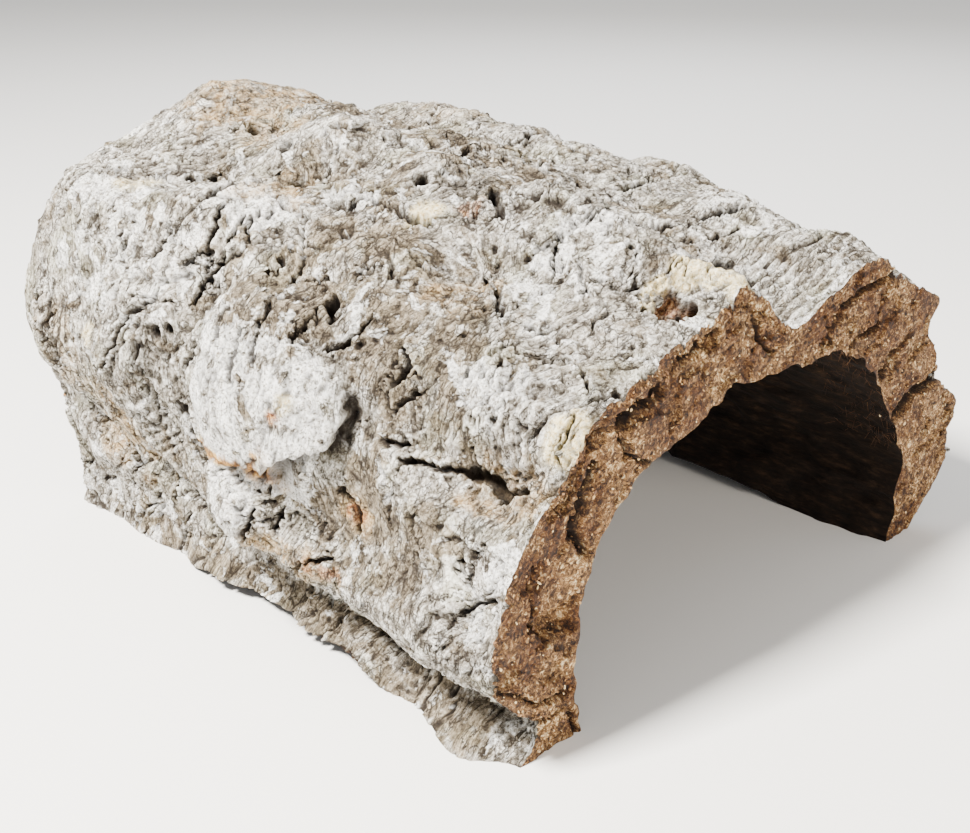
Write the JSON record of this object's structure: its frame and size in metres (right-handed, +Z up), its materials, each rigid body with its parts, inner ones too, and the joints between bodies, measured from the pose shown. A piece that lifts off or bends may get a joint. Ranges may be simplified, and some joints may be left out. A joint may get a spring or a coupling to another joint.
{
  "type": "cork bark cave",
  "caption": "Half-tube of virgin cork bark that stands on its two long edges as an open-ended cave or hide.",
  "frame": {"origin": "on the ground, under the middle of the piece's box", "axes": "+Z up, +Y along the arch from the front cut to the rear cut, +X across the arch to its ragged side"},
  "size_m": [0.2152, 0.2, 0.1298],
  "materials": {
    "cork_bark": "weathered grey outer bark, sawn brown cork at the cuts, dark inside"
  },
  "bodies": {
    "root": {"cork_bark": "cork_bark"}
  },
  "joints": []
}
